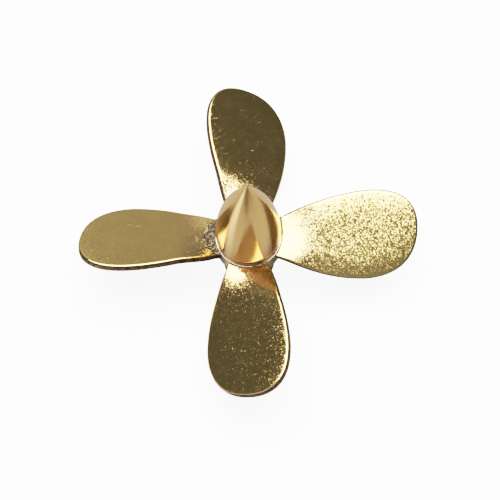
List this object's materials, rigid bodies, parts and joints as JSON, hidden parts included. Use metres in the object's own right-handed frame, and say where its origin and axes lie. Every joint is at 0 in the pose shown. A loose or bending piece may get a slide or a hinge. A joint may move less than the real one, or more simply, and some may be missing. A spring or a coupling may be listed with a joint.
{
  "type": "model ship propeller",
  "caption": "Small brass ship propeller for a model boat: twisted sheet blades soldered round a turned boss, with a pointed nose cone.",
  "frame": {"origin": "on the shaft axis, at the rear face of the boss, which is the lowest point", "axes": "+Z along the shaft axis towards the tip of the nose cone, +X along the radial line of blade_right"},
  "size_m": [0.05, 0.05, 0.0248],
  "materials": {
    "sheet_brass": "fine pickled grain",
    "turned_brass": "turned",
    "polished_brass": "polished",
    "silver_solder": "rough, grey"
  },
  "bodies": {
    "root": {"boss": "turned_brass", "collar": "polished_brass", "nose_cone": "polished_brass", "blade_right": "sheet_brass", "blade_top": "sheet_brass", "blade_left": "sheet_brass", "blade_bottom": "sheet_brass", "solder_front_right": "silver_solder", "solder_front_top": "silver_solder", "solder_front_left": "silver_solder", "solder_front_bottom": "silver_solder", "solder_back_right": "silver_solder", "solder_back_top": "silver_solder", "solder_back_left": "silver_solder", "solder_back_bottom": "silver_solder"}
  },
  "joints": []
}
